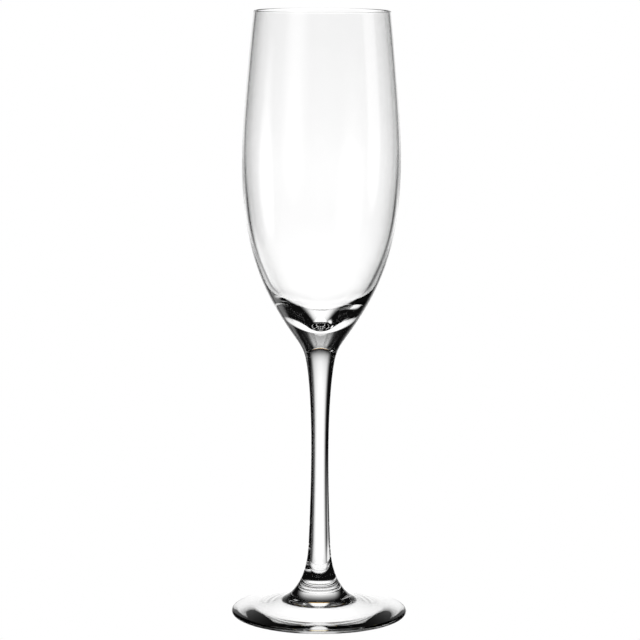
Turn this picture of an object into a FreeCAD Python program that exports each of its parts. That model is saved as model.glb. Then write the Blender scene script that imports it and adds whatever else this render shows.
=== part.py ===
"""Champagne flute: a blown bowl, a drawn stem and a pressed foot, all clear glass.

Millimetres, +Z up. The origin is the centre of the ring that the foot stands on.
The three pieces are turned about the Z axis and meet face to face at the two welds.
"""
import FreeCAD, Part
import math
import os

# Overall size
HEIGHT = 235.0
FOOT_RADIUS = 34.2

# Rim: the wall leans inward by RIM_LEAN and ends in a fire-polished half round.
RIM_RADIUS = 25.7          # to the middle of the wall
RIM_THICKNESS = 0.95
RIM_LEAN = math.radians(6.3)

# Outside of the bowl, from its widest place down to its weld with the stem
SHOULDER = (28.8, 207.0)
BELLY = (30.5, 176.0)
LOWER_BELLY = (28.5, 152.0)
TURN = (22.5, 131.0)
UNDERSIDE = (15.4, 117.5)
COLLAR = (10.05, 109.5)
BOWL_WELD = (6.7, 104.0)

# Outside of the stem, down to its weld with the foot
STEM_TOP = (5.3, 98.5)
STEM_TAPER = (4.15, 88.0)
STEM_WAIST = (3.4, 62.0)
STEM_LOW = (4.1, 31.0)
STEM_FLARE = (5.2, 19.5)
FOOT_WELD = (7.1, 13.7)

# Inside of the bowl. It narrows to a blunt point, so the wall thickens downward
# into a solid base.
INNER_POINT_HEIGHT = 114.1
INNER_POINT_ROUND = (3.0, 114.7)
INNER_CONE_LOW = (6.0, 116.4)
INNER_CONE_HIGH = (10.0, 119.5)
INNER_HEEL = (16.2, 125.4)
INNER_TURN = (20.6, 132.7)
INNER_LOWER_BELLY = (25.1, 144.5)
INNER_BELLY = (28.4, 163.5)
INNER_WIDEST = (29.35, 181.0)
INNER_SHOULDER = (28.25, 202.5)

# Foot: a shallow cone on top, a rounded edge, and a hollow underside inside a flat ring
FOOT_SLOPE = math.radians(11.9)
FOOT_EDGE_ROUND = 0.9
FOOT_NECK = (9.6, 9.6)
FOOT_CONE_RADIUS = 15.0    # where the cone starts to rise into the stem
STANDING_RING_WIDTH = 1.45

# Hollow under the foot: nearly level in the middle, then down to the ring in a long sweep
HOLLOW_TOP_HEIGHT = 4.2
HOLLOW_MIDDLE = (10.0, 3.8)
HOLLOW_SHOULDER = (16.0, 3.0)
HOLLOW_SIDE = (20.0, 1.77)
HOLLOW_SWEEP = (24.0, 0.84)
HOLLOW_LOW = (28.0, 0.4)
HOLLOW_END_SLOPE = math.radians(6.5)


def point(radius, height):
    """A point of the half section, which lies in the XZ plane."""
    return FreeCAD.Vector(radius, 0, height)


def line(start, end):
    return Part.LineSegment(start, end).toShape()


def arc(start, middle, end):
    return Part.Arc(start, middle, end).toShape()


def turned(edges):
    """The solid swept by a closed half section about the Z axis."""
    section = Part.Face(Part.Wire(edges))
    return section.revolve(point(0, 0), FreeCAD.Vector(0, 0, 1), 360)


def rim_points():
    """Outer, top and inner points of the half round that closes the wall."""
    half = RIM_THICKNESS / 2
    centre = point(RIM_RADIUS, HEIGHT - half)
    across = point(math.cos(RIM_LEAN), math.sin(RIM_LEAN)) * half
    up = point(0, half)
    return centre + across, centre + up, centre - across


def foot_edge_points():
    """Upper, outermost and lower points of the foot's rounded edge."""
    centre = point(FOOT_RADIUS - FOOT_EDGE_ROUND, FOOT_EDGE_ROUND)
    upper = centre + point(math.sin(FOOT_SLOPE), math.cos(FOOT_SLOPE)) * FOOT_EDGE_ROUND
    outermost = centre + point(FOOT_EDGE_ROUND, 0)
    lower = centre - point(0, FOOT_EDGE_ROUND)
    return upper, outermost, lower


def cone_top():
    """The place where the foot's cone ends and its rise into the stem begins."""
    edge = foot_edge_points()[0]
    rise = (edge.x - FOOT_CONE_RADIUS) * math.tan(FOOT_SLOPE)
    return point(FOOT_CONE_RADIUS, edge.z + rise)


def outside_curve():
    """One smooth line from the foot's cone to the rim, so the welds show no step."""
    stations = (
        FOOT_NECK, FOOT_WELD, STEM_FLARE, STEM_LOW, STEM_WAIST, STEM_TAPER, STEM_TOP,
        BOWL_WELD, COLLAR, UNDERSIDE, TURN, LOWER_BELLY, BELLY, SHOULDER,
    )
    curve = Part.BSplineCurve()
    curve.interpolate(
        Points=[cone_top()] + [point(*station) for station in stations] + [rim_points()[0]],
        InitialTangent=point(-math.cos(FOOT_SLOPE), math.sin(FOOT_SLOPE)),
        FinalTangent=point(-math.sin(RIM_LEAN), math.cos(RIM_LEAN)),
        Scale=False,
    )
    return curve


def outside(start, end):
    """The stretch of the outside curve between two of its points."""
    curve = outside_curve()
    return curve.toShape(curve.parameter(start), curve.parameter(end))


def inside():
    """Inside of the bowl, from the rim down to the axis, where it is level."""
    stations = (
        INNER_SHOULDER, INNER_WIDEST, INNER_BELLY, INNER_LOWER_BELLY, INNER_TURN,
        INNER_HEEL, INNER_CONE_HIGH, INNER_CONE_LOW, INNER_POINT_ROUND,
    )
    lowest = point(0, INNER_POINT_HEIGHT)
    curve = Part.BSplineCurve()
    curve.interpolate(
        Points=[rim_points()[2]] + [point(*station) for station in stations] + [lowest],
        InitialTangent=point(math.sin(RIM_LEAN), -math.cos(RIM_LEAN)),
        FinalTangent=point(-1, 0),
        Scale=False,
    )
    return curve.toShape()


def hollow(ring):
    """Underside of the foot, from the axis, where it is level, down to the ring."""
    stations = (HOLLOW_MIDDLE, HOLLOW_SHOULDER, HOLLOW_SIDE, HOLLOW_SWEEP, HOLLOW_LOW)
    top = point(0, HOLLOW_TOP_HEIGHT)
    curve = Part.BSplineCurve()
    curve.interpolate(
        Points=[top] + [point(*station) for station in stations] + [ring],
        InitialTangent=point(1, 0),
        FinalTangent=point(math.cos(HOLLOW_END_SLOPE), -math.sin(HOLLOW_END_SLOPE)),
        Scale=False,
    )
    return curve.toShape()


def bowl():
    weld = point(*BOWL_WELD)
    axis_low = point(0, BOWL_WELD[1])
    axis_high = point(0, INNER_POINT_HEIGHT)
    rim = rim_points()
    return turned([
        line(axis_low, weld),
        outside(weld, rim[0]),
        arc(*rim),
        inside(),
        line(axis_high, axis_low),
    ])


def stem():
    top = point(*BOWL_WELD)
    bottom = point(*FOOT_WELD)
    axis_top = point(0, BOWL_WELD[1])
    axis_bottom = point(0, FOOT_WELD[1])
    return turned([
        line(axis_bottom, bottom),
        outside(bottom, top),
        line(top, axis_top),
        line(axis_top, axis_bottom),
    ])


def foot():
    weld = point(*FOOT_WELD)
    edge = foot_edge_points()
    ring = edge[2] - point(STANDING_RING_WIDTH, 0)
    axis_top = point(0, FOOT_WELD[1])
    axis_low = point(0, HOLLOW_TOP_HEIGHT)
    return turned([
        outside(cone_top(), weld),
        line(weld, axis_top),
        line(axis_top, axis_low),
        hollow(ring),
        line(ring, edge[2]),
        arc(edge[2], edge[1], edge[0]),
        line(edge[0], cone_top()),
    ])


def main():
    os.makedirs("parts", exist_ok=True)
    for name, make in (("bowl", bowl), ("stem", stem), ("foot", foot)):
        make().exportStep("parts/" + name + ".step")


main()
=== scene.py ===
import math

import bpy
import numpy as np
from mathutils import Matrix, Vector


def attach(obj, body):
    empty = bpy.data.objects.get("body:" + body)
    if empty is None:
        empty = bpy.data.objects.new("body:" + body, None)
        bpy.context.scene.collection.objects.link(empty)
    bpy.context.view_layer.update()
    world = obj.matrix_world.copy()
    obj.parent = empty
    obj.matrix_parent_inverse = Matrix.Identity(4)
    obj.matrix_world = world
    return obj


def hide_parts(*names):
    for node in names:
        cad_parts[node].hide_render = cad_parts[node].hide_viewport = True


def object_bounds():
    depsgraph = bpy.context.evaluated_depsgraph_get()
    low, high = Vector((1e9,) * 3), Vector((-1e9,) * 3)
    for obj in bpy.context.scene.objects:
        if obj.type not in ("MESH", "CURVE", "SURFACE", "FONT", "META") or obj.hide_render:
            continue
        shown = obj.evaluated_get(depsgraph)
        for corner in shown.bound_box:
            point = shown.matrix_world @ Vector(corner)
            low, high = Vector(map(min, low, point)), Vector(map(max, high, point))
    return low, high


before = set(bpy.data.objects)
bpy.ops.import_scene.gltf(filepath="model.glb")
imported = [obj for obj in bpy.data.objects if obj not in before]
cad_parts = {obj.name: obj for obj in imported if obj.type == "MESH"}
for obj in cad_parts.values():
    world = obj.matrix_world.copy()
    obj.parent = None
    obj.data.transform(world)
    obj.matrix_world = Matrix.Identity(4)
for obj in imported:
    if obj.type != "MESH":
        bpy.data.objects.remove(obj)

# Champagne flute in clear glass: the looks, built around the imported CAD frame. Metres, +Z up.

CAD_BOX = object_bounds()
PIECES = ("foot", "stem", "bowl")   # in the order in which the outline runs through them

# Mesh fineness
SPOKES = 192               # steps around the axis
STEP = 0.0006              # spacing of the rings along the outline, or finer where the CAD's is
MERGE = 1e-7               # points closer than this are one point
ON_AXIS = 1e-6             # a point with a smaller radius than this is on the axis
BREAK = 3                  # a run over this many times as long as its neighbour ends a curve

# Glass
IOR = 1.52
WAVE_SCALE = (70, 70, 22)  # waves per metre: they are drawn out along the axis
WAVE_DETAIL = 1.0
WAVE_HEIGHT = 0.00001
HAZE_SCALE = 45            # patches of wear per metre
HAZE_DETAIL = 6.0
HAZE_RANGE = (0.5, 0.8)    # the noise at which wear begins and at which it is full
HAZE = 0.012               # roughness where the surface is most worn
BOUNCES = 32               # most bounces of any one path of light
INNER_BOUNCES = 8          # light thrown to and fro inside the glass oftener than this is lost

# Camera. Its distance and height go with the height of the glass.
HEIGHT = CAD_BOX[1].z
CAMERA_DISTANCE = 4.446 * HEIGHT
CAMERA_HEIGHT = 1.150 * HEIGHT
CAMERA_PITCH = math.radians(8.40)
CAMERA_ROLL = math.radians(0.32)
CAMERA_SIDE = -0.00024     # a touch to the left of the axis
CAMERA_LENS = 153.7        # millimetres, like the sensor's width
SENSOR = 36.0

# Studio. A fade is (start, end). A glow is the (bearing, elevation) of its middle, its strength
# and its fade, with angles in degrees. Bearing 0 is behind the glass, and 90 is to its right.
FLOOR_SIZE = 6.0
FLOOR_GAP = 0.00005        # keeps the floor just clear of the standing ring
DARK = 0.004               # least light from any side
BACK_GLOW = ((0.0, -16.0), 1.26, (0.0, 56.0))
BACK_SIDE = (0.31, 0.56)   # its fade to either side, by the sideways part of the ray (0 to 1)
GLOWS = (
    ((0.0, -46.0), 1.26, (16.0, 34.0)),
    ((-90.0, -9.0), 1.15, (9.0, 17.0)),
    ((135.0, -15.0), 1.1, (4.0, 26.0)),
    ((-46.0, -28.0), 1.05, (6.0, 18.0)),
)
TOP_GLOW = 1.05            # overhead softbox: its fades lie on a plane one unit above the glass
TOP_SIDE = (0.25, 0.55)    # to either side
TOP_NEAR = (-0.45, 0.3)    # toward the front
TOP_FAR = ((1.06, 1.14), (1.04, 1.10), (1.00, 1.06))   # toward the back: red, green and blue
LOWEST_RISE = 0.001        # least climb a ray is taken to have, so that level rays miss the softbox


# ---------------------------------------------------------------- outline

def half_section(node):
    """The outline of a turned CAD node as (radius, height) points, read from its mesh.

    The points run round the solid with it on their left, so that the turned faces look
    outward.
    """
    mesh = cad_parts[node].data
    spot = {}
    for vertex in mesh.vertices:
        if abs(vertex.co.y) < MERGE and vertex.co.x > -MERGE:
            spot[vertex.index] = (round(vertex.co.x / MERGE), round(vertex.co.z / MERGE))
    links = {place: set() for place in spot.values()}
    for edge in mesh.edges:
        a, b = (spot.get(index) for index in edge.vertices)
        if a is not None and b is not None and a != b:
            links[a].add(b)
            links[b].add(a)
    ends = sorted(place for place, near in links.items() if len(near) == 1)
    chain = [ends[-1]]
    while True:
        onward = [place for place in links[chain[-1]] if place not in chain]
        if not onward:
            break
        chain.append(onward[0])
    outline = np.array(chain, float) * MERGE
    radius, height = outline.T
    area = np.sum((radius[1:] + radius[:-1]) * np.diff(height))
    return outline if area > 0 else outline[::-1]


def lengths(points):
    """Distance of each point from the first, along the line."""
    return np.concatenate([[0], np.cumsum(np.hypot(*np.diff(points, axis=0).T))])


def curve_ends(points):
    """Indices of the points where one smooth curve ends and the next begins.

    These are at the standing ring, and wherever a tight round meets a long run.
    """
    run = np.diff(lengths(points))
    jump = np.maximum(run[1:] / run[:-1], run[:-1] / run[1:]) > BREAK
    standing = points[1:-1, 1] < MERGE
    return [0, *(np.flatnonzero(jump | standing) + 1), len(points) - 1]


def smooth_outlines():
    """Each piece's outline and its normals, on curves that run on through the welds."""
    parts = [half_section(node) for node in PIECES]
    whole = np.concatenate([parts[0]] + [part[1:] for part in parts[1:]])
    welds = np.cumsum([len(part) - 1 for part in parts])
    along = lengths(whole)
    fine, cuts = [whole[:1]], [0]
    ends = curve_ends(whole)
    for start, end in zip(ends, ends[1:]):
        curve = slice(start, end + 1)
        step = min(STEP, (along[end] - along[start]) / (end - start))
        stops = [start, *(weld for weld in welds if start < weld < end), end]
        for low, high in zip(stops, stops[1:]):
            count = max(1, round((along[high] - along[low]) / step))
            wanted = np.linspace(along[low], along[high], count + 1)[1:]
            stretch = [spline(along[curve], whole[curve, k], wanted) for k in range(2)]
            fine.append(np.stack(stretch, 1))
            if high in welds:
                cuts.append(sum(len(each) for each in fine) - 1)
    fine = np.concatenate(fine)
    along_r, along_z = np.gradient(fine, axis=0).T
    normals = np.stack([along_z, -along_r], 1) / np.hypot(along_r, along_z)[:, None]
    return {
        node: (fine[low:high + 1], normals[low:high + 1])
        for node, low, high in zip(PIECES, cuts, cuts[1:])
    }


def spline(x, y, wanted):
    """Cubic spline with free ends through (x, y), at the wanted places."""
    size = len(x)
    h = np.diff(x)
    slope = np.diff(y) / h
    system = np.eye(size)
    right = np.zeros(size)
    for k in range(1, size - 1):
        system[k, k - 1:k + 2] = h[k - 1], 2 * (h[k - 1] + h[k]), h[k]
        right[k] = 6 * (slope[k] - slope[k - 1])
    bend = np.linalg.solve(system, right)
    k = np.clip(np.searchsorted(x, wanted) - 1, 0, size - 2)
    a = (x[k + 1] - wanted) / h[k]
    b = 1 - a
    return (
        a * y[k] + b * y[k + 1]
        + ((a ** 3 - a) * bend[k] + (b ** 3 - b) * bend[k + 1]) * h[k] ** 2 / 6
    )


# ---------------------------------------------------------------- mesh

def between(low, high):
    """Faces between two neighbouring rings. A ring of one vertex is a point on the axis."""
    faces = []
    for k in range(SPOKES):
        n = (k + 1) % SPOKES
        if len(high) == 1:
            faces.append((low[k], low[n], high[0]))
        elif len(low) == 1:
            faces.append((high[k], low[0], high[n]))
        else:
            faces.append((low[k], low[n], high[n], high[k]))
    return faces


def turned(points, count):
    """The points (radius, height) carried round the axis in this many steps."""
    turns = np.linspace(0, 2 * math.pi, count, endpoint=False)
    return [(r * math.cos(t), r * math.sin(t), z) for r, z in points for t in turns]


def lathe(name, outline, normals):
    """A closed turned solid. Where the outline ends off the axis, a flat weld face closes it."""
    verts, facing, rings = [], [], []
    for point, normal in zip(outline, normals):
        count = SPOKES if point[0] > ON_AXIS else 1
        rings.append(list(range(len(verts), len(verts) + count)))
        verts += turned([point], count)
        facing += turned([normal], count)
    sides = [face for low, high in zip(rings, rings[1:]) for face in between(low, high)]
    corners = [facing[index] for face in sides for index in face]
    welds = []
    for ring, upward in ((rings[0], -1), (rings[-1], 1)):
        if len(ring) > 1:
            centre = [len(verts)]
            verts.append((0, 0, verts[ring[0]][2]))
            cap = between(ring, centre) if upward > 0 else between(centre, ring)
            welds += cap
            corners += [(0, 0, upward)] * (3 * len(cap))
    mesh = bpy.data.meshes.new(name)
    mesh.from_pydata(verts, [], sides + welds)
    mesh.polygons.foreach_set("use_smooth", [True] * len(mesh.polygons))
    mesh.polygons.foreach_set("material_index", [0] * len(sides) + [1] * len(welds))
    mesh.normals_split_custom_set(corners)
    mesh.update()
    return link(name, mesh)


def link(name, data):
    """A new object in the scene."""
    made = bpy.data.objects.new(name, data)
    bpy.context.scene.collection.objects.link(made)
    return made


# ---------------------------------------------------------------- materials

class Graph:
    """The nodes of a material or of the world, with short ways to make the usual ones."""

    def __init__(self, owner):
        owner.use_nodes = True
        self.nodes = owner.node_tree.nodes
        self.links = owner.node_tree.links
        self.nodes.clear()

    def add(self, kind, *inputs, named=None, **settings):
        """A node of this kind with its inputs set, in order or by name."""
        made = self.nodes.new("ShaderNode" + kind)
        for name, value in settings.items():
            setattr(made, name, value)
        for socket, value in zip(made.inputs, inputs):
            self.put(socket, value)
        for name, value in (named or {}).items():
            self.put(made.inputs[name], value)
        return made

    def put(self, socket, value):
        """Link another node's output to the socket, or set its plain value."""
        if isinstance(value, bpy.types.NodeSocket):
            self.links.new(value, socket)
        else:
            socket.default_value = value

    def math(self, operation, *values):
        return self.add("Math", *values, operation=operation).outputs[0]

    def fade(self, value, start, end):
        """1 up to start, 0 from end on, and a smooth step between."""
        made = self.add("MapRange", value, start, end, 1.0, 0.0, interpolation_type="SMOOTHSTEP")
        return made.outputs[0]


def clear_glass():
    """Clear glass: faintly wavy from the blowing and drawing, and faintly worn in patches."""
    made = bpy.data.materials.new("clear_glass")
    graph = Graph(made)
    place = graph.add("TexCoord").outputs["Object"]
    drawn = graph.add("Mapping", place, named={"Scale": WAVE_SCALE}).outputs[0]
    waves = graph.add("TexNoise", drawn, named={"Scale": 1.0, "Detail": WAVE_DETAIL})
    bump = graph.add("Bump", named={
        "Strength": 1.0,
        "Distance": WAVE_HEIGHT,
        "Height": waves.outputs["Fac"],
    })
    worn = graph.add("TexNoise", place, named={"Scale": HAZE_SCALE, "Detail": HAZE_DETAIL})
    haze = graph.add("MapRange", worn.outputs["Fac"], *HAZE_RANGE, 0.0, HAZE).outputs[0]
    glass = graph.add("BsdfPrincipled", named={
        "Base Color": (1, 1, 1, 1),
        "Roughness": haze,
        "IOR": IOR,
        "Transmission Weight": 1.0,
        "Normal": bump.outputs[0],
    })
    graph.add("OutputMaterial", glass.outputs[0])
    return made


def weld_face():
    """Invisible, because the pieces are fused where they meet."""
    made = bpy.data.materials.new("weld")
    graph = Graph(made)
    graph.add("OutputMaterial", graph.add("BsdfTransparent").outputs[0])
    return made


def lit_floor():
    """White to the eye, and clear to the glass, which sees the studio's light through it."""
    made = bpy.data.materials.new("floor")
    graph = Graph(made)
    eye = graph.add("LightPath").outputs["Is Camera Ray"]
    clear = graph.add("BsdfTransparent").outputs[0]
    white = graph.add("Emission", (1, 1, 1, 1), 1.0).outputs[0]
    graph.add("OutputMaterial", graph.add("MixShader", eye, clear, white).outputs[0])
    return made


# ---------------------------------------------------------------- glass

def build_glass():
    """The three pieces, each in place of its CAD node."""
    glass, weld = clear_glass(), weld_face()
    for node, (outline, normals) in smooth_outlines().items():
        piece = lathe(node + "_glass", outline, normals)
        piece.data.materials.append(glass)
        piece.data.materials.append(weld)
        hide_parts(node)
        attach(piece, "root")


# ---------------------------------------------------------------- studio

def floor():
    """A plain square floor, just under the glass."""
    half = FLOOR_SIZE / 2
    mesh = bpy.data.meshes.new("floor")
    corners = [(-half, -half, 0), (half, -half, 0), (half, half, 0), (-half, half, 0)]
    mesh.from_pydata(corners, [], [(0, 1, 2, 3)])
    mesh.materials.append(lit_floor())
    made = link("floor", mesh)
    made.location.z = -FLOOR_GAP


def aim(bearing, elevation):
    """Unit vector toward a bearing and an elevation in degrees."""
    turn, rise = math.radians(bearing), math.radians(elevation)
    return (math.sin(turn) * math.cos(rise), math.cos(turn) * math.cos(rise), math.sin(rise))


def round_glow(graph, ray, middle, strength, edge):
    """Light that fades with the angle between the ray and the middle of the glow."""
    toward = graph.add("VectorMath", ray, aim(*middle), operation="DOT_PRODUCT").outputs["Value"]
    off = graph.math("DEGREES", graph.math("ARCCOSINE", toward))
    return graph.math("MULTIPLY", graph.fade(off, *edge), strength)


def glows(graph, ray, sideways):
    """The brightest of the glow behind the glass, faded at its sides, and the round ones."""
    aside = graph.math("ABSOLUTE", sideways)
    back = graph.math("MULTIPLY", round_glow(graph, ray, *BACK_GLOW), graph.fade(aside, *BACK_SIDE))
    light = graph.math("MAXIMUM", back, DARK)
    for each in GLOWS:
        light = graph.math("MAXIMUM", light, round_glow(graph, ray, *each))
    return light


def softbox(graph, x, y, z):
    """Red, green and blue of the overhead softbox. Its far edge ends in a warm fringe."""
    height = graph.math("MAXIMUM", z, LOWEST_RISE)
    along = graph.math("DIVIDE", y, height)
    across = graph.math("ABSOLUTE", graph.math("DIVIDE", x, height))
    near = graph.fade(graph.math("MULTIPLY", along, -1.0), *TOP_NEAR)
    body = graph.math("MULTIPLY", graph.fade(across, *TOP_SIDE), near)
    body = graph.math("MULTIPLY", body, TOP_GLOW)
    return [graph.math("MULTIPLY", body, graph.fade(along, *edge)) for edge in TOP_FAR]


def studio_light():
    """Soft lights in a dark studio for the glass, and plain white for the eye."""
    world = bpy.data.worlds.new("studio")
    bpy.context.scene.world = world
    graph = Graph(world)
    world.cycles.sampling_method = "NONE"
    ray = graph.add("TexCoord").outputs["Generated"]
    x, y, z = graph.add("SeparateXYZ", ray).outputs
    around = glows(graph, ray, x)
    colour = graph.add("CombineColor", *(
        graph.math("ADD", around, light) for light in softbox(graph, x, y, z)
    ))
    lights = graph.add("Background", colour.outputs[0], 1.0).outputs[0]
    white = graph.add("Background", (1, 1, 1, 1), 1.0).outputs[0]
    eye = graph.add("LightPath").outputs["Is Camera Ray"]
    graph.add("OutputWorld", graph.add("MixShader", eye, lights, white).outputs[0])


def camera():
    """Higher than the rim, pitched down at the glass, and rolled a little."""
    data = bpy.data.cameras.new("camera")
    data.lens = CAMERA_LENS
    data.sensor_width = SENSOR
    made = link("camera", data)
    made.location = (CAMERA_SIDE, -CAMERA_DISTANCE, CAMERA_HEIGHT)
    tilt = Matrix.Rotation(math.radians(90) - CAMERA_PITCH, 4, "X")
    roll = Matrix.Rotation(CAMERA_ROLL, 4, "Z")
    made.rotation_euler = (tilt @ roll).to_euler()
    bpy.context.scene.camera = made


def tones_and_bounces():
    """Plain tones, and bounces enough for light to find its way out of the glass."""
    scene = bpy.context.scene
    scene.view_settings.view_transform = "Standard"
    scene.cycles.max_bounces = BOUNCES
    scene.cycles.transmission_bounces = BOUNCES
    scene.cycles.transparent_max_bounces = BOUNCES
    scene.cycles.glossy_bounces = INNER_BOUNCES


build_glass()
floor()
studio_light()
camera()
tones_and_bounces()
